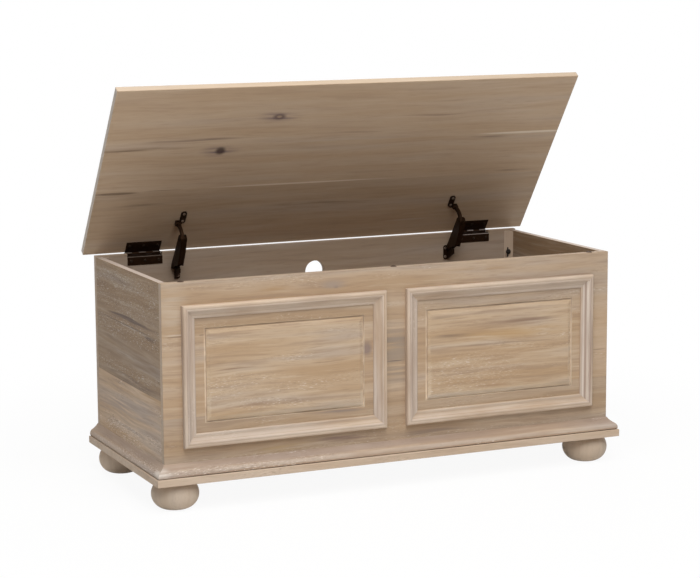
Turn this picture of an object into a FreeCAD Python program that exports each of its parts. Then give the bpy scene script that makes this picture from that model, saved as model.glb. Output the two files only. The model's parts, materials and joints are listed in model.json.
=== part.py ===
import FreeCAD, Part
import math
import os
import re
import Sketcher
from FreeCAD import Placement, Rotation, Vector

# A lift-top storage chest: X to the right, Y to the back, Z up, the origin on the floor
# under the middle of the box. The lid stands open, as it does on its two stays.

doc = FreeCAD.newDocument("lift_top_chest")

# Driving sizes, in millimetres and degrees.
driving_sizes = {
    # box
    "carcass_width": 1070,
    "carcass_depth": 449,
    "carcass_height": 409.5,
    "panel_thickness": 15,
    "back_rise": 2.6,
    "arris_round": 1,
    "port_radius": 25,
    "port_drop": 67,
    # corner posts and their bolts
    "post_leg": 16,
    "post_drop": 1.5,
    "post_bolt_drop": 52,
    "post_bolt_radius": 3,
    "post_bolt_depth": 7,
    "post_washer_radius": 6,
    "post_washer_thickness": 1.6,
    "post_nut_radius": 4.2,
    "post_nut_height": 5,
    "post_nut_crown": 3,
    # base board and its moulding
    "base_thickness": 16,
    "base_overhang": 22.5,
    "base_round": 1.5,
    "skirt_height": 27,
    "skirt_depth": 19.5,
    "skirt_lip": 1,
    "skirt_slope_width": 11,
    "skirt_slope_radius": 40,
    "skirt_nose_height": 15.8,
    "skirt_nose_foot": 5,
    "skirt_quirk": 2,
    # turned feet and their bolts
    "foot_height": 60,
    "foot_seat_radius": 35,
    "foot_sole_radius": 24,
    "foot_bulge_radius": 32.5,
    "foot_inset": 58,
    "foot_bolt_radius": 4,
    "foot_bolt_depth": 35,
    "foot_bolt_head_radius": 8,
    "foot_bolt_head_height": 3,
    # applied frames and raised fields on the front
    "frame_side_margin": 43,
    "frame_gap": 48,
    "frame_top_margin": 49,
    "frame_bottom_margin": 58.5,
    "stick_width": 29,
    "stick_height": 13,
    "stick_bead_radius": 5,
    "stick_bead_flat": 4,
    "stick_shoulder": 3,
    "stick_cove_radius": 16,
    "stick_fillet_width": 5.5,
    "stick_fillet_height": 4,
    "stick_edge": 2,
    "field_inset": 54,
    "field_rise": 4,
    "field_bevel_width": 8,
    "field_bevel_drop": 3,
    "groove_width": 3.5,
    "groove_depth": 2.5,
    # lid
    "lid_depth": 469.9,
    "lid_thickness": 15,
    "lid_side_overhang": 24.5,
    "lid_rear_overhang": 1.4,
    "lid_gap": 3,
    "lid_round": 1.5,
    "lid_open_angle": 54.45,
    "bumper_radius": 7.2,
    "bumper_dome_radius": 12,
    "bumper_end_margin": 46,
    "bumper_clearance": 0.4,
    # hinges
    "hinge_setback": 3.8,
    "hinge_rise": 0.3,
    "hinge_mortise": 5.5,
    "hinge_bend_radius": 2.5,
    "hinge_end_margin": 115.5,
    "hinge_length": 83,
    "hinge_leaf_thickness": 1.3,
    "hinge_knuckle_radius": 3.4,
    "hinge_knuckle_gap": 0.3,
    "hinge_pin_radius": 1.5,
    "hinge_pin_head_radius": 2.8,
    "hinge_pin_head_height": 0.8,
    "hinge_box_drop": 23.5,
    "hinge_lid_reach": 30,
    "hinge_screw_pitch": 33,
    "hinge_box_screw_drop": 14,
    "hinge_lid_screw_reach": 19,
    # lid stays
    "stay_end_margin": 183.5,
    "stay_reach": 87,
    "stay_foot_drop": 7.4,
    "stay_base_forward": 10.5,
    "stay_base_drop": 30,
    "stay_width": 14,
    "stay_wall": 1.5,
    "stay_base_radius": 6.5,
    "stay_elbow_radius": 10,
    "stay_throat_reach": 15,
    "stay_throat_depth": 13,
    "stay_heel_reach": 26,
    "stay_heel_depth": 25.5,
    "stay_belly_reach": 66,
    "stay_belly_depth": 17.5,
    "stay_spine_start": 30,
    "stay_arm_thickness": 6,
    "stay_arm_radius": 4.5,
    "stay_arm_bow_radius": 42,
    "stay_pin_radius": 2.5,
    "stay_pin_head_radius": 4,
    "stay_pin_head_height": 1.2,
    "stay_washer_radius": 6.5,
    "stay_damper_radius": 5.3,
    "stay_damper_drop": 6,
    "stay_damper_start": 32,
    "stay_damper_length": 40,
    "stay_web_thickness": 3,
    "stay_web_shift": 3,
    "stay_web_half_head": 6,
    "stay_web_head": 6.5,
    "stay_web_toe": 24,
    "stay_web_toe_top": 4,
    "stay_web_toe_foot": 13,
    "stay_plate_thickness": 2.5,
    "stay_flange_width": 13,
    "stay_flange_corner": 5.5,
    "stay_flange_shift": 8,
    "stay_flange_height": 34.4,
    "stay_flange_rise": 3.4,
    "stay_flange_screw_inset": 6.5,
    "stay_flange_screw_side": 10,
    "stay_foot_width": 13.6,
    "stay_foot_length": 33.5,
    "stay_foot_corner": 5.5,
    "stay_foot_lead": 14.5,
    "stay_foot_shift": 11.6,
    "stay_foot_screw_inset": 6.5,
    "stay_lug_thickness": 2,
    "stay_lug_radius": 5,
    # screws and fits
    "screw_radius": 1.6,
    "screw_head_radius": 3.3,
    "screw_head_height": 1.2,
    "screw_bite": 11,
    "hole_clearance": 0.1,
    "pin_clearance": 0.05,
    "side_clearance": 0.2,
}

sheet = doc.addObject("Spreadsheet::Sheet", "sizes")
for row, (alias, size) in enumerate(driving_sizes.items(), start=1):
    sheet.set("A%d" % row, alias)
    sheet.set("B%d" % row, str(size))
    sheet.setAlias("B%d" % row, alias)
doc.recompute()

# Planes and axes that several pieces share, as formulas of the driving sizes.
box_floor = "(foot_height + base_thickness)"
box_top = "(foot_height + base_thickness + carcass_height)"
half_width = "(carcass_width / 2)"
back_inner = "(carcass_depth / 2 - panel_thickness)"
front_face = "(-carcass_depth / 2)"
axis_y = "(carcass_depth / 2 + hinge_setback)"
axis_z = "(%s + hinge_rise)" % box_top
lid_under = "(lid_gap - hinge_rise)"
leaf_fall = "(hinge_mortise + hinge_rise - hinge_knuckle_radius)"
leaf_slope = "(%s / (hinge_setback + panel_thickness))" % leaf_fall
lid_rear = "(lid_rear_overhang - hinge_setback)"
hinge_x = "(carcass_width / 2 - hinge_end_margin)"
stay_x = "(carcass_width / 2 - stay_end_margin)"
frame_width = "(carcass_width / 2 - frame_side_margin - frame_gap / 2)"
frame_height = "(carcass_height - frame_top_margin - frame_bottom_margin)"
frame_x = "(%s / 2 + frame_gap / 2)" % frame_width
frame_z = "(%s + frame_bottom_margin + %s / 2)" % (box_floor, frame_height)
foot_x = "(carcass_width / 2 + base_overhang - foot_inset)"
foot_front_y = "(-carcass_depth / 2 - base_overhang + foot_inset)"
foot_back_y = "(carcass_depth / 2 - foot_inset)"

# The stay is a parallelogram: hinge axis, lid pivot, elbow and base pivot.
base_pivot_y = "(%s - stay_base_forward)" % back_inner
base_pivot_z = "(%s - stay_base_drop)" % box_top
pivot_fall = "(stay_foot_drop - %s)" % lid_under
link_length = "sqrt(stay_reach ^ 2 + %s ^ 2)" % pivot_fall
link_angle = "(lid_open_angle * 1 deg - atan(%s / stay_reach))" % pivot_fall
arm_back = "(hinge_setback + panel_thickness + stay_base_forward)"
arm_rise = "(stay_base_drop + hinge_rise)"
arm_length = "sqrt(%s ^ 2 + %s ^ 2)" % (arm_back, arm_rise)
elbow_y = "(%s - %s * cos(%s))" % (base_pivot_y, link_length, link_angle)
elbow_z = "(%s + %s * sin(%s))" % (base_pivot_z, link_length, link_angle)

sides = {"left": -1, "right": 1}
hinge_knuckles = 5
same_plane = 1e-6
made = []


def cells(formula):
    return re.sub(r"[a-z]+(?:_[a-z]+)+", lambda word: "sizes." + word.group(0), str(formula))


def number(formula):
    value = sheet.evalExpression(cells(formula))
    return float(getattr(value, "Value", value))


def bind(item, name, formula):
    item.setExpression(name, cells(formula))


def place(item, x="0", y="0", z="0", turn=None):
    item.Placement = Placement(Vector(0, 0, 0), turn or Rotation())
    for name, formula in (("x", x), ("y", y), ("z", z)):
        bind(item, "Placement.Base." + name, formula)


def place_on_lid(item, x="0"):
    place(item, x, axis_y, axis_z, Rotation(Vector(-1, 0, 0), number("lid_open_angle")))
    bind(item, "Placement.Rotation.Angle", "lid_open_angle")


def place_on_stay(item, x):
    place(item, x, base_pivot_y, base_pivot_z, Rotation(Vector(-1, 0, 0), number(link_angle)))
    bind(item, "Placement.Rotation.Angle", link_angle)


def new_body(label):
    body = doc.addObject("PartDesign::Body", label)
    body.Label = label
    made.append(body)
    return body


def new_sketch(body, role, lift="0"):
    sketch = body.newObject("Sketcher::SketchObject", body.Name + "_sketch")
    plane = [item for item in body.Origin.OriginFeatures if item.Role == role][0]
    sketch.AttachmentSupport = (plane, [""])
    sketch.MapMode = "FlatFace"
    bind(sketch, "AttachmentOffset.Base.z", lift)
    return sketch


def pin_point(sketch, edge, end, x, y):
    for kind, formula in (("DistanceX", x), ("DistanceY", y)):
        rule = Sketcher.Constraint(kind, -1, 1, edge, end, number(formula))
        index = sketch.addConstraint(rule)
        bind(sketch, "Constraints[%d]" % index, formula)


def arc_through(start, finish, radius):
    # A positive radius swells to the right of the way from start to finish.
    chord = finish - start
    half = chord.Length / 2
    right = Vector(chord.y, -chord.x, 0).normalize()
    swell = abs(radius) - math.sqrt(radius ** 2 - half ** 2)
    crown = (start + finish) / 2 + right * math.copysign(swell, radius)
    return Part.Arc(start, crown, finish)


def trace(sketch, corners, arcs=None):
    # A closed outline through its corners; arcs gives a radius and a side for some edges.
    arcs = arcs or {}
    points = [Vector(number(x), number(y), 0) for x, y in corners]
    ends = []
    for index, start in enumerate(points):
        finish = points[(index + 1) % len(points)]
        if index in arcs:
            radius, side = arcs[index]
            edge = sketch.addGeometry(arc_through(start, finish, side * number(radius)))
        else:
            edge = sketch.addGeometry(Part.LineSegment(start, finish))
        forward = (sketch.getPoint(edge, 1) - start).Length < (sketch.getPoint(edge, 2) - start).Length
        ends.append((edge, 1, 2) if forward else (edge, 2, 1))
    for index, (x, y) in enumerate(corners):
        edge, near = ends[index][:2]
        last_edge, last_far = ends[index - 1][::2]
        sketch.addConstraint(Sketcher.Constraint("Coincident", last_edge, last_far, edge, near))
        pin_point(sketch, edge, near, x, y)
    for index, (radius, side) in arcs.items():
        rule = sketch.addConstraint(Sketcher.Constraint("Radius", ends[index][0], number(radius)))
        bind(sketch, "Constraints[%d]" % rule, radius)
    return sketch


def rectangle(sketch, x_low, y_low, x_high, y_high):
    return trace(sketch, [(x_low, y_low), (x_high, y_low), (x_high, y_high), (x_low, y_high)])


def circle(sketch, x, y, radius):
    centre = Vector(number(x), number(y), 0)
    edge = sketch.addGeometry(Part.Circle(centre, Vector(0, 0, 1), number(radius)))
    pin_point(sketch, edge, 3, x, y)
    rule = sketch.addConstraint(Sketcher.Constraint("Radius", edge, number(radius)))
    bind(sketch, "Constraints[%d]" % rule, radius)
    return sketch


def pad(body, sketch, length, symmetric=False, reverse=False):
    feature = body.newObject("PartDesign::Pad", body.Name + "_pad")
    feature.Profile = sketch
    feature.SideType = "Symmetric" if symmetric else "One side"
    feature.Reversed = reverse
    bind(feature, "Length", length)
    return feature


def pocket(body, sketch, depth=None, reverse=False):
    # A pocket of no stated depth goes right through, both ways.
    feature = body.newObject("PartDesign::Pocket", body.Name + "_pocket")
    feature.Profile = sketch
    feature.Reversed = reverse
    if depth is None:
        feature.Type = "ThroughAll"
        feature.SideType = "Symmetric"
    else:
        bind(feature, "Length", depth)
    return feature


def cut_both_ways(body, sketch, width):
    feature = pocket(body, sketch, width)
    feature.SideType = "Symmetric"
    return feature


def revolve(body, sketch, axis):
    feature = body.newObject("PartDesign::Revolution", body.Name + "_turning")
    feature.Profile = sketch
    feature.ReferenceAxis = (sketch, [axis])
    feature.Angle = 360
    return feature


def round_all(body, base, radius):
    feature = body.newObject("PartDesign::Fillet", body.Name + "_round")
    feature.Base = (base, [""])
    feature.UseAllEdges = True
    bind(feature, "Radius", radius)
    return feature


def group(label, solids):
    item = doc.addObject("Part::Feature", label)
    item.Label = label
    item.Shape = Part.makeCompound(solids)
    made.append(item)


def turned(points, seat, way):
    # A solid of revolution from (radius, height) pairs, standing on seat and pointing along way.
    places = [Vector(radius, 0, height) for radius, height in points]
    face = Part.Face(Part.makePolygon(places + places[:1]))
    solid = face.revolve(Vector(0, 0, 0), Vector(0, 0, 1), 360)
    solid.Placement = Placement(seat, Rotation(Vector(0, 0, 1), way))
    return solid


def headed(radius, depth, head, top):
    # The half profile of a bolt or screw: a pointed shank below its seat and a softened head above it.
    half = top / 2
    shank = [(0, -depth), (radius, radius - depth), (radius, 0)]
    return shank + [(head, 0), (head, half), (head - half, top), (0, top)]


def drill(body, role, lift, spots, radius, depth, reverse=False):
    sketch = new_sketch(body, role, lift)
    for x, y in spots:
        circle(sketch, x, y, radius)
    return pocket(body, sketch, depth, reverse)


# Places of the screws, as formulas, for the holes and for the screws alike.
def hinge_screw_xs(side):
    return ["%d * %s + %d * hinge_screw_pitch" % (side, hinge_x, step) for step in (-1, 0, 1)]


def flange_screw_x(side):
    return "%d * (%s - stay_flange_screw_side)" % (side, stay_x)


def foot_screw_x(side):
    return "%d * (%s - stay_foot_shift)" % (side, stay_x)


flange_screw_drops = [
    "(stay_base_drop - stay_flange_rise + stay_flange_screw_inset)",
    "(stay_base_drop - stay_flange_rise + stay_flange_height - stay_flange_screw_inset)",
]
foot_screw_reaches = [
    "(stay_reach + stay_foot_lead - stay_foot_length / 2 + stay_foot_screw_inset)",
    "(stay_reach + stay_foot_lead + stay_foot_length / 2 - stay_foot_screw_inset)",
]
screw_hole = "screw_radius + hole_clearance"
stay_pin_hole = "stay_pin_radius + pin_clearance"


# The box: front and back boards run the full width, the side boards stand between them.
def front_panel():
    body = new_body("front_panel")
    board = rectangle(new_sketch(body, "XZ_Plane"), "-" + half_width, "0", half_width, "carcass_height")
    solid = pad(body, board, "panel_thickness", reverse=True)
    doc.recompute()
    round_all(body, solid, "arris_round")
    # a groove runs round each raised field
    for side in sides.values():
        loops = new_sketch(body, "XZ_Plane")
        for spread in ("groove_width", "0"):
            field_outline(loops, "%d * %s" % (side, frame_x), "%s - %s" % (frame_z, box_floor), spread)
        pocket(body, loops, "groove_depth")
    place(body, y=front_face, z=box_floor)


def field_outline(sketch, x, y, spread):
    half_w = "(%s / 2 - field_inset + %s)" % (frame_width, spread)
    half_h = "(%s / 2 - field_inset + %s)" % (frame_height, spread)
    low_x, high_x = "%s - %s" % (x, half_w), "%s + %s" % (x, half_w)
    return rectangle(sketch, low_x, "%s - %s" % (y, half_h), high_x, "%s + %s" % (y, half_h))


def rounded_rectangle(sketch, x, y, half_w, half_h, corner):
    left, right = "%s - %s" % (x, half_w), "%s + %s" % (x, half_w)
    low, high = "%s - %s" % (y, half_h), "%s + %s" % (y, half_h)
    corners = [
        (left + " + " + corner, low),
        (right + " - " + corner, low),
        (right, low + " + " + corner),
        (right, high + " - " + corner),
        (right + " - " + corner, high),
        (left + " + " + corner, high),
        (left, high + " - " + corner),
        (left, low + " + " + corner),
    ]
    trace(sketch, corners, {edge: (corner, 1) for edge in (1, 3, 5, 7)})


def back_panel():
    body = new_body("back_panel")
    board = new_sketch(body, "XZ_Plane")
    rectangle(board, "-" + half_width, "-carcass_height", half_width, "back_rise")
    solid = pad(body, board, "panel_thickness", reverse=True)
    doc.recompute()
    round_all(body, solid, "arris_round")
    pocket(body, circle(new_sketch(body, "XZ_Plane"), "0", "-port_drop", "port_radius"))
    # each hinge lies in a notch in the top edge that falls towards the inside
    notch = [
        ("0", "-hinge_mortise"),
        ("panel_thickness", "%s * panel_thickness - hinge_mortise" % leaf_slope),
        ("panel_thickness", "hinge_mortise"),
        ("0", "hinge_mortise"),
    ]
    for side in sides.values():
        outline = trace(new_sketch(body, "YZ_Plane", "%d * %s" % (side, hinge_x)), notch)
        cut_both_ways(body, outline, "hinge_length + 2 * side_clearance")
    spots = []
    for side in sides.values():
        spots += [(x, "-hinge_box_screw_drop") for x in hinge_screw_xs(side)]
        spots += [(flange_screw_x(side), "-" + drop) for drop in flange_screw_drops]
    drill(body, "XZ_Plane", "0", spots, screw_hole, "screw_bite + hole_clearance")
    place(body, y=back_inner, z=box_top)


def side_panel(name, side):
    body = new_body(name + "_side_panel")
    board = new_sketch(body, "YZ_Plane")
    rectangle(board, "panel_thickness - carcass_depth / 2", "0", back_inner, "carcass_height")
    solid = pad(body, board, "panel_thickness", symmetric=True)
    doc.recompute()
    round_all(body, solid, "arris_round")
    place(body, x="%d * (carcass_width - panel_thickness) / 2" % side, z=box_floor)


post_height = "(carcass_height - post_drop)"
post_bolt_heights = ["(%s - post_bolt_drop + post_drop)" % post_height, "post_bolt_drop"]
corner_turns = {"front_left": 0, "front_right": 90, "back_right": 180, "back_left": 270}


def corner_place(turn):
    # the inside corner of the box that a post fills
    x_side = -1 if turn in (0, 270) else 1
    y_side = -1 if turn in (0, 90) else 1
    return "%d * (%s - panel_thickness)" % (x_side, half_width), "%d * %s" % (y_side, back_inner)


def corner_post(name, turn):
    # drawn with its corner at the origin and its diagonal face square to Y
    body = new_body(name + "_corner_post")
    face = "(post_leg / sqrt(2))"
    outline = trace(new_sketch(body, "XY_Plane"), [("0", "0"), (face, face), ("-" + face, face)])
    pad(body, outline, post_height)
    spots = [("0", height) for height in post_bolt_heights]
    hole = "post_bolt_radius + hole_clearance"
    drill(body, "XZ_Plane", "-" + face, spots, hole, "post_bolt_depth + hole_clearance", reverse=True)
    x, y = corner_place(turn)
    place(body, x, y, box_floor, Rotation(Vector(0, 0, 1), turn - 45))


def corner_bolts():
    radius = number("post_bolt_radius")
    washer = number("post_washer_radius")
    washer_top = number("post_washer_thickness")
    nut = number("post_nut_radius")
    nut_top = washer_top + number("post_nut_height")
    depth = number("post_bolt_depth")
    crown = number("post_nut_crown")
    points = [
        (0, -depth),
        (radius, -depth),
        (radius, 0),
        (washer, 0),
        (washer, washer_top),
        (nut, washer_top),
        (nut, nut_top - crown / 2),
        (nut - crown / 2, nut_top),
        (0, nut_top),
    ]
    solids = []
    for turn in corner_turns.values():
        x, y = corner_place(turn)
        way = Rotation(Vector(0, 0, 1), turn).multVec(Vector(1, 1, 0).normalize())
        face = way * (number("post_leg") / math.sqrt(2))
        for height in post_bolt_heights:
            corner = Vector(number(x), number(y), number(box_floor) + number(height))
            solids.append(turned(points, corner + face, way))
    group("corner_bolts", solids)


# The base board carries the box and its moulding; it is flush with the back.
def base_board():
    body = new_body("base_board")
    outline = new_sketch(body, "XY_Plane")
    edge = "(%s + base_overhang)" % half_width
    rectangle(outline, "-" + edge, "-carcass_depth / 2 - base_overhang", edge, "carcass_depth / 2")
    solid = pad(body, outline, "base_thickness")
    doc.recompute()
    round_all(body, solid, "base_round")
    spots = [("%d * %s" % (side, foot_x), y) for side in (-1, 1) for y in (foot_front_y, foot_back_y)]
    hole = "foot_bolt_radius + hole_clearance"
    drill(body, "XY_Plane", "base_thickness", spots, hole, "base_thickness")
    place(body, z="foot_height")


def moulding(label, corners, arcs, depth, length, ends):
    # A length of moulding along X: its outer edge lies on the X axis and it reaches in along +Y.
    # ends lists which ends, -1 or 1, are mitred at 45 degrees.
    body = new_body(label)
    profile = trace(new_sketch(body, "YZ_Plane"), corners, arcs)
    pad(body, profile, length, symmetric=True)
    reach = "2 * %s" % depth
    for end in ends:
        tip = "%d * %s / 2" % (end, length)
        corner = [(tip, "0"), (tip + " + " + reach, reach), (tip + " - " + reach, reach)]
        pocket(body, trace(new_sketch(body, "XY_Plane"), corner))
    return body


def base_moulding():
    # a slightly hollow slope, then a rounded nose that ends upright over a shadow line
    nose_run = "(skirt_depth - skirt_lip - skirt_slope_width)"
    nose_rise = "(skirt_nose_height - skirt_nose_foot)"
    nose_radius = "((%s ^ 2 + %s ^ 2) / (2 * %s))" % (nose_run, nose_rise, nose_run)
    corners = [
        ("skirt_quirk", "0"),
        ("skirt_depth", "0"),
        ("skirt_depth", "skirt_height"),
        ("skirt_depth - skirt_lip", "skirt_height"),
        (nose_run, "skirt_nose_height"),
        ("0", "skirt_nose_foot"),
        ("0", "skirt_quirk"),
        ("skirt_quirk", "skirt_quirk"),
    ]
    arcs = {3: ("skirt_slope_radius", -1), 4: (nose_radius, 1)}
    length = "(carcass_width + 2 * skirt_depth)"
    front = moulding("base_moulding_front", corners, arcs, "skirt_depth", length, (-1, 1))
    place(front, y="-carcass_depth / 2 - skirt_depth", z=box_floor)
    for name, side in sides.items():
        length = "(carcass_depth + skirt_depth)"
        piece = moulding("base_moulding_" + name, corners, arcs, "skirt_depth", length, (-side,))
        x = "%d * (%s + skirt_depth)" % (side, half_width)
        place(piece, x, "-skirt_depth / 2", box_floor, Rotation(Vector(0, 0, 1), 90 * side))


# Each front frame is four mitred lengths of bead-and-cove moulding.
def front_frame(name, side):
    corners = [
        ("0", "0"),
        ("0", "stick_height - stick_bead_radius"),
        ("stick_bead_radius", "stick_height"),
        ("stick_bead_radius + stick_bead_flat", "stick_height"),
        ("stick_bead_radius + stick_bead_flat + stick_shoulder", "stick_height - stick_shoulder"),
        ("stick_width - stick_fillet_width", "stick_fillet_height"),
        ("stick_width", "stick_edge"),
        ("stick_width", "0"),
    ]
    corners.reverse()
    arcs = {
        1: ("stick_fillet_width", 1),
        2: ("stick_cove_radius", -1),
        3: ("stick_shoulder", 1),
        5: ("stick_bead_radius", 1),
    }
    pieces = {
        "bottom": (0, frame_width, "0", "-%s / 2" % frame_height),
        "right": (-90, frame_height, "%s / 2" % frame_width, "0"),
        "top": (180, frame_width, "0", "%s / 2" % frame_height),
        "left": (90, frame_height, "-%s / 2" % frame_width, "0"),
    }
    for edge, (turn, length, across, up) in pieces.items():
        piece = moulding("%s_frame_%s" % (name, edge), corners, arcs, "stick_width", length, (-1, 1))
        stand = Rotation(Vector(0, 1, 0), turn) * Rotation(Vector(1, 0, 0), 90)
        x = "%d * %s + %s" % (side, frame_x, across)
        place(piece, x, front_face, "%s + %s" % (frame_z, up), stand)


def field_panel(name, side):
    body = new_body(name + "_field_panel")
    slab = pad(body, field_outline(new_sketch(body, "XZ_Plane"), "0", "0", "0"), "field_rise")
    doc.recompute()
    face = slab.Shape.BoundBox.YMin
    top = [
        "Edge%d" % (index + 1)
        for index, edge in enumerate(slab.Shape.Edges)
        if edge.BoundBox.YMax - face < same_plane
    ]
    bevel = body.newObject("PartDesign::Chamfer", body.Name + "_bevel")
    bevel.Base = (slab, top)
    bevel.ChamferType = "Two distances"
    bind(bevel, "Size", "field_bevel_drop")
    bind(bevel, "Size2", "field_bevel_width")
    place(body, "%d * %s" % (side, frame_x), front_face, frame_z)


# Turned feet, bolted up through the base board.
def bun_foot(name, x, y):
    body = new_body(name + "_foot")
    profile = new_sketch(body, "XZ_Plane")
    bolt = "(foot_bolt_radius + hole_clearance)"
    bore_foot = "(foot_height - foot_bolt_depth - hole_clearance)"
    corners = [
        ("0", "0"),
        ("foot_sole_radius", "0"),
        ("foot_seat_radius", "foot_height"),
        (bolt, "foot_height"),
        (bolt, bore_foot),
        ("0", bore_foot),
    ]
    trace(profile, corners, {1: ("foot_bulge_radius", 1)})
    revolve(body, profile, "V_Axis")
    place(body, x, y)


def foot_bolts():
    radius = number("foot_bolt_radius")
    head = number("foot_bolt_head_radius")
    top = number("foot_bolt_head_height")
    depth = number("base_thickness") + number("foot_bolt_depth")
    solids = []
    points = headed(radius, depth, head, top)
    for side in (-1, 1):
        for y in (foot_front_y, foot_back_y):
            seat = Vector(side * number(foot_x), number(y), number(box_floor))
            solids.append(turned(points, seat, Vector(0, 0, 1)))
    group("foot_bolts", solids)


def lid_bumpers():
    radius = number("bumper_radius")
    top = number("lid_gap") - number("bumper_clearance")
    ball = number("bumper_dome_radius")
    end = number(half_width) - number("bumper_end_margin")
    solids = []
    for x in (-end, 0, end):
        seat = Vector(x, number(front_face) + number("panel_thickness") / 2, number(box_top))
        disc = Part.makeCylinder(radius, top)
        dome = Part.makeSphere(ball, Vector(0, 0, top - ball))
        bumper = disc.common(dome)
        bumper.translate(seat)
        solids.append(bumper)
    group("lid_bumpers", solids)


# The lid and what is fixed to it are modelled shut, round the hinge axis, and then swung open.
def lid_board():
    body = new_body("lid_board")
    outline = new_sketch(body, "XY_Plane", lid_under)
    edge = "(%s + lid_side_overhang)" % half_width
    rectangle(outline, "-" + edge, lid_rear + " - lid_depth", edge, lid_rear)
    solid = pad(body, outline, "lid_thickness")
    doc.recompute()
    round_all(body, solid, "lid_round")
    spots = []
    for side in sides.values():
        spots += [(x, "%s - hinge_lid_screw_reach" % lid_rear) for x in hinge_screw_xs(side)]
        spots += [(foot_screw_x(side), "-" + reach) for reach in foot_screw_reaches]
    drill(body, "XY_Plane", lid_under, spots, screw_hole, "screw_bite + hole_clearance", reverse=True)
    place_on_lid(body)


# Butt hinges: five knuckles round a pin, three on the box leaf and two on the lid leaf.
def hinge_leaf(label, outline, bends, first, reach, screw_role, screw_lift, screw_height):
    # first is the leaf's first knuckle; notches of the given reach clear the other leaf's knuckles
    body = new_body(label)
    pad(body, trace(new_sketch(body, "YZ_Plane"), outline, bends), "hinge_length", symmetric=True)
    step = "(hinge_length / %d)" % hinge_knuckles
    notches = new_sketch(body, "XY_Plane")
    for index in range(1 - first, hinge_knuckles, 2):
        low = "%d * %s - hinge_length / 2 - hinge_knuckle_gap / 2" % (index, step)
        high = "%d * %s - hinge_length / 2 + hinge_knuckle_gap / 2" % (index + 1, step)
        rectangle(notches, low, "-" + reach, high, reach)
    pocket(body, notches)
    for index in range(first, hinge_knuckles, 2):
        middle = "%d * %s / 2 - hinge_length / 2" % (2 * index + 1, step)
        knuckle = circle(new_sketch(body, "YZ_Plane", middle), "0", "0", "hinge_knuckle_radius")
        pad(body, knuckle, step + " - hinge_knuckle_gap", symmetric=True)
    pocket(body, circle(new_sketch(body, "YZ_Plane"), "0", "0", "hinge_pin_radius + pin_clearance"))
    screws = new_sketch(body, screw_role, screw_lift)
    for step in (-1, 0, 1):
        circle(screws, "%d * hinge_screw_pitch" % step, screw_height, screw_hole)
    cut_both_ways(body, screws, "3 * hinge_leaf_thickness")
    return body


def hinge(name, side):
    inner = "(-hinge_setback - panel_thickness)"
    face = "(%s - hinge_leaf_thickness)" % inner
    seat = "(-hinge_rise - hinge_mortise)"
    foot = "(-hinge_rise - hinge_box_drop)"
    bend_top = "%s + hinge_leaf_thickness + hinge_bend_radius * %s" % (seat, leaf_slope)
    box_outline = [
        ("0", "-hinge_knuckle_radius"),
        (inner, seat),
        (inner, foot),
        (face, foot),
        (face, seat + " + hinge_leaf_thickness - hinge_bend_radius"),
        (face + " + hinge_bend_radius", bend_top),
        ("0", "hinge_leaf_thickness - hinge_knuckle_radius"),
    ]
    bend = {4: ("hinge_bend_radius", -1)}
    x = "%d * %s" % (side, hinge_x)
    screw_height = "-hinge_rise - hinge_box_screw_drop"
    reach = "(hinge_knuckle_radius + hinge_knuckle_gap)"
    box_leaf = hinge_leaf(
        name + "_hinge_box_leaf", box_outline, bend, 0, reach, "XZ_Plane", "-" + inner, screw_height
    )
    place(box_leaf, x, axis_y, axis_z)
    under = lid_under
    tip = "(%s - hinge_lid_reach)" % lid_rear
    lid_outline = [("0", under), (tip, under), (tip, under + " - hinge_leaf_thickness")]
    lid_outline.append(("0", under + " - hinge_leaf_thickness"))
    # the lid leaf lies off the axis, so it can come closer to the box leaf's knuckles
    swept = "(hinge_knuckle_radius + hinge_knuckle_gap / 2)"
    reach = "sqrt(%s ^ 2 - (%s - hinge_leaf_thickness) ^ 2)" % (swept, under)
    screw_height = "%s - hinge_lid_screw_reach" % lid_rear
    lid_leaf = hinge_leaf(
        name + "_hinge_lid_leaf", lid_outline, {}, 1, reach, "XY_Plane", under, screw_height
    )
    place_on_lid(lid_leaf, x)
    head = ("hinge_pin_head_radius", "hinge_pin_head_height")
    pin = rivet(name + "_hinge_pin", "hinge_pin_radius", "hinge_length", *head)
    place(pin, x, axis_y, axis_z)


def rivet(label, radius, grip, head_radius, head_height):
    body = new_body(label)
    half = "(%s) / 2" % grip
    tip = "((%s) / 2 + %s)" % (grip, head_height)
    corners = [
        ("-" + tip, "0"),
        (tip, "0"),
        (tip, head_radius),
        (half, head_radius),
        (half, radius),
        ("-" + half, radius),
        ("-" + half, head_radius),
        ("-" + tip, head_radius),
    ]
    revolve(body, trace(new_sketch(body, "XY_Plane"), corners), "H_Axis")
    return body


def pan_screw(seat, way, plate):
    # The head sits on the plate; the shank goes through the plate and bites into the wood.
    radius = number("screw_radius")
    head = number("screw_head_radius")
    top = number("screw_head_height")
    depth = number(plate) + number("screw_bite")
    return turned(headed(radius, depth, head, top), seat, way)


def on_lid(point):
    swing = Rotation(Vector(-1, 0, 0), number("lid_open_angle"))
    return Vector(0, number(axis_y), number(axis_z)) + swing.multVec(point)


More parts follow.
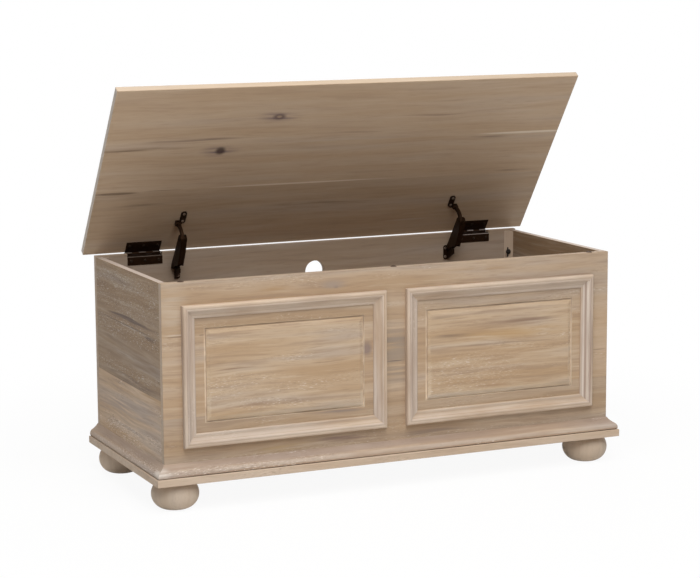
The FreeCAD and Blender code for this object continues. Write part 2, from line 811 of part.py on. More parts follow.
def fixing_screws():
    inwards = Vector(0, -1, 0)
    under_lid = on_lid(Vector(0, 0, -1)) - on_lid(Vector(0, 0, 0))
    under = number(lid_under)
    groups = {"hinge_box_screws": [], "hinge_lid_screws": [], "stay_box_screws": [], "stay_lid_screws": []}
    for side in sides.values():
        for x in hinge_screw_xs(side):
            leaf = "hinge_leaf_thickness"
            low = number(box_top) - number("hinge_box_screw_drop")
            seat = Vector(number(x), number(back_inner) - number(leaf), low)
            groups["hinge_box_screws"].append(pan_screw(seat, inwards, leaf))
            reach = number("%s - hinge_lid_screw_reach" % lid_rear)
            seat = on_lid(Vector(number(x), reach, under - number(leaf)))
            groups["hinge_lid_screws"].append(pan_screw(seat, under_lid, leaf))
        plate = "stay_plate_thickness"
        for drop in flange_screw_drops:
            low = number(box_top) - number(drop)
            seat = Vector(number(flange_screw_x(side)), number(back_inner) - number(plate), low)
            groups["stay_box_screws"].append(pan_screw(seat, inwards, plate))
        for reach in foot_screw_reaches:
            seat = on_lid(Vector(number(foot_screw_x(side)), -number(reach), under - number(plate)))
            groups["stay_lid_screws"].append(pan_screw(seat, under_lid, plate))
    for label, solids in groups.items():
        group(label, solids)


# Lid stays. Each is drawn round its own pivot, with the back of the chest towards +Y.
def stay_base_bracket(name, side):
    body = new_body(name + "_stay_base_bracket")
    wall = "stay_base_forward"
    top = "stay_flange_rise"
    foot = "(stay_flange_rise - stay_flange_height)"
    web = [
        (wall, top),
        ("stay_web_half_head", "stay_web_head"),
        ("-stay_web_half_head", "stay_web_head"),
        ("-stay_web_toe", "-stay_web_toe_top"),
        ("-stay_web_toe", "-stay_web_toe_foot"),
        (wall, foot),
    ]
    inwards = "%d * -stay_web_shift" % side
    outline = trace(new_sketch(body, "YZ_Plane", inwards), web)
    pad(body, outline, "stay_web_thickness", symmetric=True)
    flange = new_sketch(body, "XZ_Plane", "-%s" % wall)
    middle = "%d * -stay_flange_shift" % side
    centre = "(stay_flange_rise - stay_flange_height / 2)"
    half_w, half_h = "stay_flange_width / 2", "stay_flange_height / 2"
    rounded_rectangle(flange, middle, centre, half_w, half_h, "stay_flange_corner")
    pad(body, flange, "stay_plate_thickness")
    pocket(body, circle(new_sketch(body, "YZ_Plane"), "0", "0", stay_pin_hole))
    screws = new_sketch(body, "XZ_Plane", "-%s" % wall)
    for drop in flange_screw_drops:
        circle(screws, "%d * -stay_flange_screw_side" % side, "stay_base_drop - %s" % drop, screw_hole)
    cut_both_ways(body, screws, "3 * stay_plate_thickness")
    place(body, "%d * %s" % (side, stay_x), base_pivot_y, base_pivot_z)


def stay_housing(name, side):
    # a channel, open towards the lid, with a round end at each pivot and a full belly between them
    body = new_body(name + "_stay_body")
    elbow = "-" + link_length
    cheeks = new_sketch(body, "YZ_Plane")
    corners = [
        ("0", "stay_base_radius"),
        (elbow, "stay_elbow_radius"),
        (elbow, "-stay_elbow_radius"),
        ("-stay_belly_reach", "-stay_belly_depth"),
        ("-stay_heel_reach", "-stay_heel_depth"),
        ("-stay_throat_reach", "-stay_throat_depth"),
        ("0", "-stay_base_radius"),
    ]
    pad(body, trace(cheeks, corners), "stay_width", symmetric=True)
    pivots = {"0": "stay_base_radius", elbow: "stay_elbow_radius"}
    for pivot, radius in pivots.items():
        end = circle(new_sketch(body, "YZ_Plane"), pivot, "0", radius)
        pad(body, end, "stay_width", symmetric=True)
    over = "2 * stay_heel_depth"
    far = "%s - %s" % (elbow, over)
    belly_slope = "((stay_heel_depth - stay_belly_depth) / (stay_belly_reach - stay_heel_reach))"
    belly_run = "(stay_belly_reach - stay_spine_start)"
    spine = "(stay_wall - stay_belly_depth - %s * %s)" % (belly_slope, belly_run)
    hollow = [
        (over, "-" + over),
        (over, over),
        (far, over),
        (far, "stay_wall - stay_elbow_radius"),
        (elbow, "stay_wall - stay_elbow_radius"),
        ("-stay_belly_reach", "stay_wall - stay_belly_depth"),
        ("-stay_spine_start", spine),
        ("-stay_spine_start", "-" + over),
    ]
    cut_both_ways(body, trace(new_sketch(body, "YZ_Plane"), hollow), "stay_width - 2 * stay_wall")
    holes = new_sketch(body, "YZ_Plane")
    for pivot in pivots:
        circle(holes, pivot, "0", stay_pin_hole)
    pocket(body, holes)
    place_on_stay(body, "%d * %s" % (side, stay_x))


def stay_damper(name, side):
    body = new_body(name + "_stay_damper")
    barrel = new_sketch(body, "XZ_Plane", "stay_damper_start")
    circle(barrel, "0", "-stay_damper_drop", "stay_damper_radius")
    pad(body, barrel, "stay_damper_length")
    place_on_stay(body, "%d * %s" % (side, stay_x))


def stay_washers(name, side):
    # friction washers fill the housing on both sides of the bracket's web and of the arm
    inner = number("stay_width") / 2 - number("stay_wall")
    hole = number(stay_pin_hole)
    rim = number("stay_washer_radius")
    swing = Rotation(Vector(-1, 0, 0), number(link_angle))
    solids = []
    shift = -side * number("stay_web_shift")
    stacks = [("0", "stay_web_thickness", shift), (link_length, "stay_arm_thickness", 0)]
    for along, middle, offset in stacks:
        centre = swing.multVec(Vector(0, -number(along), 0))
        centre += Vector(side * number(stay_x), number(base_pivot_y), number(base_pivot_z))
        for way in (-1, 1):
            start = offset + way * number(middle) / 2
            thick = inner - way * start
            points = [(hole, 0), (rim, 0), (rim, thick), (hole, thick)]
            solids.append(turned(points, centre + Vector(start, 0, 0), Vector(way, 0, 0)))
    group(name + "_stay_washers", solids)


def stay_arm(name, side):
    # a bowed bar from the elbow, at the origin, up and back to the lid pivot
    body = new_body(name + "_stay_arm")
    across_y = "(stay_arm_radius * %s / %s)" % (arm_rise, arm_length)
    across_z = "(stay_arm_radius * %s / %s)" % (arm_back, arm_length)
    corners = [
        ("-" + across_y, across_z),
        (across_y, "-" + across_z),
        ("%s + %s" % (arm_back, across_y), "%s - %s" % (arm_rise, across_z)),
        ("%s - %s" % (arm_back, across_y), "%s + %s" % (arm_rise, across_z)),
    ]
    arcs = {1: ("stay_arm_bow_radius", -1), 3: ("stay_arm_bow_radius", 1)}
    bar = trace(new_sketch(body, "YZ_Plane"), corners, arcs)
    pad(body, bar, "stay_arm_thickness", symmetric=True)
    pivots = (("0", "0"), (arm_back, arm_rise))
    for y, z in pivots:
        eye = circle(new_sketch(body, "YZ_Plane"), y, z, "stay_arm_radius")
        pad(body, eye, "stay_arm_thickness", symmetric=True)
    holes = new_sketch(body, "YZ_Plane")
    for y, z in pivots:
        circle(holes, y, z, stay_pin_hole)
    pocket(body, holes)
    place(body, "%d * %s" % (side, stay_x), elbow_y, elbow_z)


def stay_lid_foot(name, side):
    body = new_body(name + "_stay_lid_foot")
    under = lid_under
    pivot_z = "(-%s)" % pivot_fall
    lugs = new_sketch(body, "YZ_Plane")
    rectangle(lugs, "-stay_reach - stay_lug_radius", pivot_z, "stay_lug_radius - stay_reach", under)
    slot = "(stay_arm_thickness + 2 * side_clearance)"
    pad(body, lugs, slot + " + 2 * stay_lug_thickness", symmetric=True)
    ends = circle(new_sketch(body, "YZ_Plane"), "-stay_reach", pivot_z, "stay_lug_radius")
    pad(body, ends, slot + " + 2 * stay_lug_thickness", symmetric=True)
    gap = new_sketch(body, "YZ_Plane")
    over = "2 * stay_lug_radius"
    top = "(%s - stay_plate_thickness)" % under
    rectangle(gap, "-stay_reach - " + over, "%s - %s" % (pivot_z, over), "%s - stay_reach" % over, top)
    cut_both_ways(body, gap, slot)
    plate = new_sketch(body, "XY_Plane", top)
    middle = "%d * -stay_foot_shift" % side
    centre = "(-stay_reach - stay_foot_lead)"
    half_w, half_h = "stay_foot_width / 2", "stay_foot_length / 2"
    rounded_rectangle(plate, middle, centre, half_w, half_h, "stay_foot_corner")
    pad(body, plate, "stay_plate_thickness")
    tongue = new_sketch(body, "XY_Plane", top)
    low_x, high_x = (middle, "0") if side > 0 else ("0", middle)
    rectangle(tongue, low_x, "-stay_reach - stay_lug_radius", high_x, "stay_lug_radius - stay_reach")
    pad(body, tongue, "stay_plate_thickness")
    pocket(body, circle(new_sketch(body, "YZ_Plane"), "-stay_reach", pivot_z, stay_pin_hole))
    screws = new_sketch(body, "XY_Plane", under)
    for reach in foot_screw_reaches:
        circle(screws, middle, "-" + reach, screw_hole)
    cut_both_ways(body, screws, "3 * stay_plate_thickness")
    place_on_lid(body, "%d * %s" % (side, stay_x))


def stay_pins(name, side):
    x = "%d * %s" % (side, stay_x)
    head = ("stay_pin_head_radius", "stay_pin_head_height")
    base_pin = rivet(name + "_stay_base_pin", "stay_pin_radius", "stay_width", *head)
    place(base_pin, x, base_pivot_y, base_pivot_z)
    elbow_pin = rivet(name + "_stay_elbow_pin", "stay_pin_radius", "stay_width", *head)
    place(elbow_pin, x, elbow_y, elbow_z)
    grip = "stay_arm_thickness + 2 * side_clearance + 2 * stay_lug_thickness"
    lid_pin = rivet(name + "_stay_lid_pin", "stay_pin_radius", grip, *head)
    place(lid_pin, x, "%s + %s" % (elbow_y, arm_back), "%s + %s" % (elbow_z, arm_rise))


front_panel()
back_panel()
base_board()
base_moulding()
lid_board()
for corner_name, corner_turn in corner_turns.items():
    corner_post(corner_name, corner_turn)
corner_bolts()
for side_name, side_sign in sides.items():
    side_panel(side_name, side_sign)
    front_frame(side_name, side_sign)
    field_panel(side_name, side_sign)
    bun_foot("front_" + side_name, "%d * %s" % (side_sign, foot_x), foot_front_y)
    bun_foot("back_" + side_name, "%d * %s" % (side_sign, foot_x), foot_back_y)
    hinge(side_name, side_sign)
    stay_base_bracket(side_name, side_sign)
    stay_housing(side_name, side_sign)
    stay_damper(side_name, side_sign)
    stay_washers(side_name, side_sign)
    stay_arm(side_name, side_sign)
    stay_lid_foot(side_name, side_sign)
    stay_pins(side_name, side_sign)
foot_bolts()
lid_bumpers()
fixing_screws()
doc.recompute()

for item in doc.Objects:
    if "Invalid" in item.State or "Error" in item.State:
        raise RuntimeError("%s did not rebuild: %s" % (item.Label, item.State))
for item in made:
    if item.Shape.isNull() or not item.Shape.isValid() or not item.Shape.Solids:
        raise RuntimeError("%s has no sound solid" % item.Label)

os.makedirs("parts", exist_ok=True)
for item in made:
    item.Shape.exportStep("parts/%s.step" % item.Label)
    print("%-28s %d solids %12.1f mm3" % (item.Label, len(item.Shape.Solids), item.Shape.Volume))
print(len(made), "nodes")
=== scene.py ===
import bpy
import json
import math
from mathutils import Matrix, Vector


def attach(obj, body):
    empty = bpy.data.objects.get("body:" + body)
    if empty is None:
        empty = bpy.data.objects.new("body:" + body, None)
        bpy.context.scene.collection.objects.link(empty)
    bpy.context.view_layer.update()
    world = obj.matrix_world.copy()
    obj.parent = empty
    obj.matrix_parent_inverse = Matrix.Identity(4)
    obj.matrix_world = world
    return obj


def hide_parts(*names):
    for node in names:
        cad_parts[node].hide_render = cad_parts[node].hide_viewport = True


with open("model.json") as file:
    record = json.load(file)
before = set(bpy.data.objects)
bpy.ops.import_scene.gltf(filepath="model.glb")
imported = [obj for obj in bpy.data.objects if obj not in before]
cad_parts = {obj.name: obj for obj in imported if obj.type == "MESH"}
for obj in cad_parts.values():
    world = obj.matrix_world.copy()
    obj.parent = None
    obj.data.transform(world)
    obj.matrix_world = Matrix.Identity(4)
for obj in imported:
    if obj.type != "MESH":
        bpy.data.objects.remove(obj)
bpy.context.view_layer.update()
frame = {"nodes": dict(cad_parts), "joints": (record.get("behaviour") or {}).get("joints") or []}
nodes = frame["nodes"]
mm = 0.001
sides = ("left", "right")
rows = ("front", "back")

# the lid stands open in the frame, and this turn about the hinge would shut it
lidHinge = next(joint for joint in frame["joints"] if joint["name"] == "lid_hinge")
opening = -lidHinge["range_deg"][0]
hingeAxis = Vector(lidHinge["pos_m"]) / mm
shut = Matrix.Rotation(math.radians(opening), 3, "X")


def linear(hexCode):
    # an sRGB hex colour as the linear value that a socket takes
    parts = [int(hexCode[i:i + 2], 16) / 255 for i in (1, 3, 5)]
    return [p / 12.92 if p <= 0.04045 else ((p + 0.055) / 1.055) ** 2.4 for p in parts] + [1.0]


def addNode(tree, kind, inputs=None, **settings):
    node = tree.nodes.new(kind)
    for name, value in settings.items():
        setattr(node, name, value)
    for name, value in (inputs or {}).items():
        if isinstance(value, bpy.types.NodeSocket):
            tree.links.new(value, node.inputs[name])
        else:
            node.inputs[name].default_value = value
    return node


def newMaterial(name):
    material = bpy.data.materials.new(name)
    material.use_nodes = True
    material.node_tree.nodes.clear()
    return material, material.node_tree


# camera: the photograph's own viewpoint, found from the box and lid edges
view = {
    "place": (-1.9647, -4.3217, 1.1522), "yaw": 24.39, "pitch": 8.94, "roll": -0.36,
    "lens": 109.3, "sensor": 36.0,
}
aim = Matrix.Rotation(math.radians(-view["yaw"]), 3, "Z")
aim = aim @ Matrix.Rotation(math.radians(90 - view["pitch"]), 3, "X")
aim = aim @ Matrix.Rotation(math.radians(view["roll"]), 3, "Z")
bpy.ops.object.camera_add(location=view["place"], rotation=aim.to_euler())
camera = bpy.context.object
camera.data.sensor_width = view["sensor"]
camera.data.lens = view["lens"]
bpy.context.scene.camera = camera
bpy.context.scene.view_settings.view_transform = "Standard"
print("camera set")

# studio: soft lamps, an even pale room and a white floor that keeps a faint shadow; places and sizes in m
lamps = {
    "keyLamp": {"place": (-0.7, -3.2, 3.0), "aim": (0, 0, 0.3), "size": (2.2, 1.2), "watts": 58},
    "topLamp": {"place": (-0.5, -1.5, 3.4), "aim": (-0.2, -0.6, 0), "size": (3.0, 2.0), "watts": 101},
    "rearLamp": {"place": (0.9, 3.2, 2.6), "aim": (0, 0.2, 0.4), "size": (2.4, 1.6), "watts": 45},
}
for name, lamp in lamps.items():
    bpy.ops.object.light_add(type="AREA", location=lamp["place"])
    light = bpy.context.object
    light.name = name
    light.data.shape = "RECTANGLE"
    light.data.size, light.data.size_y = lamp["size"]
    light.data.energy = lamp["watts"]
    towards = Vector(lamp["aim"]) - Vector(lamp["place"])
    light.rotation_euler = towards.to_track_quat("-Z", "Y").to_euler()
    light.visible_camera = False

room = {
    "ambient": "#ffffff", "ambientStrength": 0.12, "backdrop": "#ffffff",
    "floorTone": "#f2f1ef", "floorSize": 24, "shadowShare": 0.07, "shadowReach": (0.7, 1.5),
}


def shownRays(tree):
    # 1 for rays that show the studio itself, seen directly, mirrored or through glass
    path = addNode(tree, "ShaderNodeLightPath")
    seen = path.outputs["Is Camera Ray"]
    for ray in ("Is Glossy Ray", "Is Transmission Ray"):
        either = addNode(tree, "ShaderNodeMath", {0: seen, 1: path.outputs[ray]}, operation="MAXIMUM")
        seen = either.outputs[0]
    return seen


world = bpy.data.worlds.new("paleRoom")
world.use_nodes = True
bpy.context.scene.world = world
tree = world.node_tree
tree.nodes.clear()
soft = addNode(tree, "ShaderNodeBackground", {
    "Color": linear(room["ambient"]), "Strength": room["ambientStrength"],
})
white = addNode(tree, "ShaderNodeBackground", {"Color": linear(room["backdrop"]), "Strength": 1.0})
mixed = addNode(tree, "ShaderNodeMixShader", {0: shownRays(tree), 1: soft.outputs[0], 2: white.outputs[0]})
addNode(tree, "ShaderNodeOutputWorld", {"Surface": mixed.outputs[0]})

# White studio paint: flat white all round, a little open to shadow near the chest.
bpy.ops.object.select_all(action="DESELECT")
bpy.ops.mesh.primitive_plane_add(size=room["floorSize"])
floor = bpy.context.object
floor.name = "studioFloor"
material, tree = newMaterial("white studio paint")
place = addNode(tree, "ShaderNodeTexCoord")
away = addNode(tree, "ShaderNodeVectorMath", {0: place.outputs["Object"]}, operation="LENGTH")
near, far = room["shadowReach"]
bright = addNode(tree, "ShaderNodeMapRange", {
    "Value": away.outputs["Value"], "From Min": near, "From Max": far,
    "To Min": 1 - room["shadowShare"], "To Max": 1.0,
}, interpolation_type="SMOOTHSTEP")
share = addNode(tree, "ShaderNodeMath", {0: shownRays(tree), 1: bright.outputs[0]}, operation="MULTIPLY")
paint = addNode(tree, "ShaderNodeBsdfDiffuse", {"Color": linear(room["floorTone"])})
glow = addNode(tree, "ShaderNodeEmission", {"Color": linear(room["backdrop"]), "Strength": 1.0})
mixed = addNode(tree, "ShaderNodeMixShader", {0: share.outputs[0], 1: paint.outputs[0], 2: glow.outputs[0]})
addNode(tree, "ShaderNodeOutputMaterial", {"Surface": mixed.outputs[0]})
floor.data.materials.append(material)
print("studio set")


def drawnGrain(tree, source, length, width, detail):
    # soft noise drawn out along the grain, by its length and width in mm
    drawn = addNode(tree, "ShaderNodeMapping", {
        "Vector": source, "Scale": (1 / (mm * length), 1 / (mm * width), 1 / (mm * width)),
    })
    return addNode(tree, "ShaderNodeTexNoise", {"Vector": drawn.outputs[0], "Scale": 1.0, "Detail": detail})


def spotReach(tree, source, centre, size):
    # distance from the middle of a long spot, 1 at its rim
    (x, y), (length, width) = centre, size
    spot = addNode(tree, "ShaderNodeMapping", {
        "Vector": source, "Location": (-x / length, -y / width, 0.0),
        "Scale": (1 / (mm * length), 1 / (mm * width), 0.0),
    })
    return addNode(tree, "ShaderNodeVectorMath", {0: spot.outputs[0]}, operation="LENGTH").outputs["Value"]


def faceShare(tree, normal, facing, turns, amounts):
    # one amount on faces turned away from a direction, another on those that look that way
    turned = addNode(tree, "ShaderNodeVectorMath", {0: normal, 1: facing}, operation="DOT_PRODUCT")
    return addNode(tree, "ShaderNodeMapRange", {
        "Value": turned.outputs["Value"], "From Min": turns[0], "From Max": turns[1],
        "To Min": amounts[0], "To Max": amounts[1],
    }).outputs[0]


# Acacia boards, wire-brushed and rubbed with a grey-white wash under matt lacquer. The eye sees long soft
# streaks, short pale flecks where the wash stays in the pores, faint board joints and hardly any shine.
def washedAcacia(name, look):
    material, tree = newMaterial(name)
    place = addNode(tree, "ShaderNodeTexCoord")
    grain = addNode(tree, "ShaderNodeMapping", {
        "Vector": place.outputs["Object"],
        "Location": [mm * part for part in look["shift"]],
        "Rotation": [math.radians(angle) for angle in look["turn"]],
    }).outputs[0]  # x runs along the grain, y across the boards
    across = addNode(tree, "ShaderNodeSeparateXYZ", {0: grain}).outputs["Y"]

    # the grain wanders a little off straight
    drift = drawnGrain(tree, grain, *look["wanderSize"]).outputs[1]
    level = addNode(tree, "ShaderNodeVectorMath", {0: drift, 1: (0.5, 0.5, 0.5)}, operation="SUBTRACT")
    sway = mm * look["wander"]
    wavy = addNode(tree, "ShaderNodeVectorMath", {
        0: level.outputs[0], 1: (0.0, sway, sway), 2: grain,
    }, operation="MULTIPLY_ADD").outputs[0]

    # each board of a panel has its own figure and its own depth of colour
    ownFigure, gain, lastGain = wavy, None, look["boards"][0][1]
    for edge, boardGain in look["boards"][1:]:
        step = addNode(tree, "ShaderNodeMath", {0: across, 1: mm * edge}, operation="GREATER_THAN").outputs[0]
        ownFigure = addNode(tree, "ShaderNodeVectorMath", {
            0: step, 1: [mm * part for part in look["boardJump"]], 2: ownFigure,
        }, operation="MULTIPLY_ADD").outputs[0]
        gain = addNode(tree, "ShaderNodeMath", {
            0: step, 1: boardGain - lastGain, 2: gain or lastGain,
        }, operation="MULTIPLY_ADD").outputs[0]
        lastGain = boardGain
    figure = {}
    for layer, size in look["layers"].items():
        figure[layer] = drawnGrain(tree, ownFigure, *size).outputs[0]

    # a face inside the box has hardly any wash and is darkened as painted shade, and elsewhere it may be
    # rubbed in all over
    washed = rubbed = None
    if look["bareAndShaded"]:
        facing, insideShadeGain = look["bareAndShaded"]
        washed = faceShare(tree, place.outputs["Normal"], facing, look["insideTurns"], (1.0, 0.0))
    for centre, size in look["rubbed"]:
        rub = addNode(tree, "ShaderNodeMapRange", {
            "Value": spotReach(tree, grain, centre, size), "From Min": 1.0, "From Max": look["rubbedCore"],
        }).outputs[0]
        if rubbed:
            rub = addNode(tree, "ShaderNodeMath", {0: rubbed, 1: rub}, operation="MAXIMUM").outputs[0]
        rubbed = rub

    colour = linear(look["ground"])
    for layer, low, high, tone, amount, mask in look["tints"]:
        strength = look["flecks"] if layer == "pore" else look["figured"]
        share = addNode(tree, "ShaderNodeMapRange", {
            "Value": figure[layer], "From Min": low, "From Max": high, "To Max": amount * strength,
        }, interpolation_type="SMOOTHSTEP").outputs[0]
        if mask:  # flecks come in patches and on rubbed places, and bare faces have none
            kind, first, full = mask
            patch = addNode(tree, "ShaderNodeMapRange", {
                "Value": figure[kind], "From Min": first, "From Max": full,
            }, interpolation_type="SMOOTHSTEP").outputs[0]
            for cover, how in ((rubbed, "MAXIMUM"), (washed, "MULTIPLY")):
                if cover:
                    patch = addNode(tree, "ShaderNodeMath", {0: patch, 1: cover}, operation=how).outputs[0]
            share = addNode(tree, "ShaderNodeMath", {0: share, 1: patch}, operation="MULTIPLY").outputs[0]
        colour = addNode(tree, "ShaderNodeMix", {
            0: share, 6: colour, 7: linear(tone),
        }, data_type="RGBA").outputs[2]

    # knots and streaks at known places follow the grain, and the joints between boards are dead straight
    low, high, weak, strong = look["uneven"]
    uneven = addNode(tree, "ShaderNodeMapRange", {
        "Value": figure["streak"], "From Min": low, "From Max": high, "To Min": weak, "To Max": strong,
    }).outputs[0]
    spots = [(wavy, *mark) for mark in look["marks"]]
    for (first, last), edge, width, tone, amount in look["joints"]:
        middle, half = ((first + last) / 2, edge), ((last - first) / 2, width)
        spots.append((grain, middle, half, look["jointCore"], tone, amount))
    for source, centre, size, core, tone, amount in spots:
        share = addNode(tree, "ShaderNodeMapRange", {
            "Value": spotReach(tree, source, centre, size),
            "From Min": 1.0, "From Max": core, "To Max": amount,
        }, interpolation_type="SMOOTHSTEP").outputs[0]
        if core <= look["softCore"]:  # soft streaks are uneven, knots and joints are not
            share = addNode(tree, "ShaderNodeMath", {0: share, 1: uneven}, operation="MULTIPLY").outputs[0]
        colour = addNode(tree, "ShaderNodeMix", {
            0: share, 6: colour, 7: linear(tone),
        }, data_type="RGBA").outputs[2]
    if gain:
        colour = addNode(tree, "ShaderNodeHueSaturation", {"Value": gain, "Color": colour}).outputs[0]

    # wash, dirt, painted light and painted shade along the mouldings, at a distance in from a frame's outer
    # edge or at a height
    if look["lines"]:
        raw = addNode(tree, "ShaderNodeSeparateXYZ", {0: place.outputs["Object"]})
        at = raw.outputs["Z"]
        if look["frame"]:
            (midX, midZ), (halfX, halfZ) = look["frame"]
            middle, half = (mm * midX, 0.0, mm * midZ), (mm * halfX, 0.0, mm * halfZ)
            off = addNode(tree, "ShaderNodeVectorMath", {0: place.outputs["Object"]}, operation="ABSOLUTE")
            off = addNode(tree, "ShaderNodeVectorMath", {0: off.outputs[0], 1: middle}, operation="SUBTRACT")
            off = addNode(tree, "ShaderNodeVectorMath", {0: off.outputs[0]}, operation="ABSOLUTE")
            inset = addNode(tree, "ShaderNodeVectorMath", {0: half, 1: off.outputs[0]}, operation="SUBTRACT")
            inset = addNode(tree, "ShaderNodeSeparateXYZ", {0: inset.outputs[0]})
            nearest = {0: inset.outputs["X"], 1: inset.outputs["Z"]}
            at = addNode(tree, "ShaderNodeMath", nearest, operation="MINIMUM").outputs[0]
        low, high, weak = look["broken"]
        broken = addNode(tree, "ShaderNodeMapRange", {
            "Value": figure["patch"], "From Min": low, "From Max": high, "To Min": weak,
        }).outputs[0]
        for where, spread, tone, amount, (faded, full) in look["lines"]:
            off = addNode(tree, "ShaderNodeMath", {0: at, 1: mm * where}, operation="SUBTRACT")
            off = addNode(tree, "ShaderNodeMath", {0: off.outputs[0]}, operation="ABSOLUTE")
            share = addNode(tree, "ShaderNodeMapRange", {
                "Value": off.outputs[0], "From Min": mm * spread, "From Max": mm * spread * look["lineCore"],
                "To Max": amount,
            }, interpolation_type="SMOOTHSTEP").outputs[0]
            within = addNode(tree, "ShaderNodeMapRange", {
                "Value": raw.outputs["Z"], "From Min": mm * faded, "From Max": mm * full,
            }).outputs[0]
            share = addNode(tree, "ShaderNodeMath", {0: share, 1: within}, operation="MULTIPLY").outputs[0]
            share = addNode(tree, "ShaderNodeMath", {0: share, 1: broken}, operation="MULTIPLY").outputs[0]
            colour = addNode(tree, "ShaderNodeMix", {
                0: share, 6: colour, 7: linear(tone),
            }, data_type="RGBA").outputs[2]

    if washed:  # painted shade: faces inside the box are darkened too
        value = addNode(tree, "ShaderNodeMapRange", {"Value": washed, "To Min": insideShadeGain, "To Max": 1.0})
        colour = addNode(tree, "ShaderNodeHueSaturation", {
            "Value": value.outputs[0], "Color": colour,
        }).outputs[0]

    # faces that look a given way take a tone of their own: end grain takes the wash differently from the
    # broad faces, and some edges carry painted light and shade
    for facing, tone, amount in look["edges"]:
        share = faceShare(tree, place.outputs["Normal"], facing, look["edgeTurns"], (0.0, amount))
        colour = addNode(tree, "ShaderNodeMix", {
            0: share, 6: colour, 7: linear(tone),
        }, data_type="RGBA").outputs[2]

    smooth, rough = look["rough"]
    roughness = addNode(tree, "ShaderNodeMapRange", {
        "Value": figure["streak"], "To Min": smooth, "To Max": rough,
    })
    height = addNode(tree, "ShaderNodeMath", {
        0: figure["pore"], 1: look["poreDepth"], 2: figure["fine"],
    }, operation="MULTIPLY_ADD")
    bump = addNode(tree, "ShaderNodeBump", {
        "Height": height.outputs[0], "Strength": look["brushed"], "Distance": mm * look["relief"],
    })
    skin = addNode(tree, "ShaderNodeBsdfPrincipled", {
        "Base Color": colour, "Roughness": roughness.outputs[0], "Normal": bump.outputs[0],
        "IOR": look["ior"], "Specular IOR Level": look["shine"],
    })
    addNode(tree, "ShaderNodeOutputMaterial", {"Surface": skin.outputs[0]})
    return material


def dress(names, material):
    for name in names:
        piece = nodes[name]
        piece.data.materials.clear()
        piece.data.materials.append(material)


# sizes in mm, length along the grain by width, then the noise's detail; flecks and fine grain are drawn at
# two or three times their real width so that they show
acacia = {
    "turn": (-90, 0, 0), "shift": (0, 0, 0),
    "boards": [(0, 1.0)], "boardJump": (370, 0, 210),  # edge and depth of colour of each board
    "marks": [],  # centre, half size, hard core, tone and amount
    "joints": [],  # run, place across, half width, tone and amount
    "rubbed": [],  # centre and half size
    "lines": [], "frame": None,  # place, half width, tone, amount and the heights where a line is absent and at full strength
    "bareAndShaded": None, "edges": [],  # facing, with the gain of painted shade on faces that look that way, or with tone and amount
    "ground": "#b9a28a",
    "wanderSize": (300, 70, 1.0), "wander": 22,
    "layers": {
        "broad": (520, 42, 2.0), "streak": (170, 8, 3.0), "fine": (42, 2.4, 2.0),
        "pore": (9, 1.5, 1.0), "patch": (150, 38, 2.0),
    },
    "tints": [
        ("broad", 0.40, 0.66, "#ab8d6c", 0.7, None),
        ("broad", 0.46, 0.30, "#a99b90", 0.55, None),
        ("streak", 0.50, 0.70, "#937a66", 0.45, None),
        ("streak", 0.46, 0.30, "#cab69f", 0.4, None),
        ("fine", 0.52, 0.74, "#90775f", 0.35, None),
        ("pore", 0.60, 0.74, "#dbd0c4", 0.55, ("patch", 0.56, 0.68)),
        ("pore", 0.42, 0.28, "#84705f", 0.35, ("patch", 0.50, 0.64)),
    ],
    "uneven": (0.38, 0.58, 0.1, 1.3), "broken": (0.36, 0.56, 0.35),  # range of the figure, then amounts
    "softCore": 0.2, "jointCore": 0.5, "rubbedCore": 0.6, "lineCore": 0.4,
    "insideTurns": (0.7, 0.9), "edgeTurns": (0.9, 0.98),
    "figured": 1.0, "flecks": 1.0,
    "rough": (0.52, 0.64), "brushed": 0.3, "poreDepth": 0.6, "relief": 0.5, "ior": 1.48, "shine": 0.2,
}
endGrain = [((-1, 0, 0), "#c9bbad", 0.3), ((1, 0, 0), "#c9bbad", 0.3)]

frontBoard = {
    **acacia, "boards": [(0, 0.9), (198.5, 1.0), (370.5, 0.95)], "figured": 0.85,
    "joints": [
        ((-535, -460), 371.5, 1.6, "#6f5a4a", 0.6), ((-535, -470), 375, 2.0, "#ded3c6", 0.35),
        ((-455, -438), 371.5, 1.4, "#6f5a4a", 0.6), ((-26, 26), 279, 1.5, "#665650", 0.6),
        ((492, 535), 262, 1.5, "#6d5c50", 0.5),
    ],
    "marks": [
        # grey stains at the frames, and paler wood at both ends
        ((0, 322), (60, 14), 0.2, "#84756a", 0.7), ((-68, 311), (18, 20), 0.3, "#7f6f6c", 0.75),
        ((0, 290), (60, 110), 0.2, "#98897a", 0.65), ((515, 290), (45, 160), 0.1, "#cfb79e", 0.35),
        ((-512, 430), (50, 75), 0.1, "#d6c9b8", 0.25),
        # streaks at the feet of the frames
        ((-124, 118), (90, 12), 0.2, "#8b7268", 0.6), ((-130, 178), (80, 9), 0.2, "#8f817b", 0.5),
        ((0, 112), (600, 16), 0.1, "#937d6a", 0.3), ((-250, 112), (110, 10), 0.1, "#b99d6c", 0.5),
        ((90, 108), (120, 12), 0.1, "#8f7c6e", 0.45),
        # a pin knot and brown streaks above the frames
        ((-140, 451), (8, 5), 0.3, "#826c60", 0.75), ((-146, 455), (42, 14), 0.1, "#a19184", 0.6),
        ((-280, 455), (60, 8), 0.1, "#ab8a63", 0.5), ((200, 470), (130, 7), 0.1, "#a98b68", 0.5),
    ],
    "rubbed": [((0, 104), (560, 9))],
    # painted light: a pale line in the groove round the fields lifts its shade, full below 330 and gone by
    # 425
    "frame": ((258, 285.5), (234, 151)), "lines": [(52.2, 3.2, "#f0dec6", 0.85, (425, 330))],
    "edges": [((0, 0, 1), "#a48f78", 0.5), *endGrain],
}
dress(["front_panel"], washedAcacia("washed acacia, front boards", frontBoard))
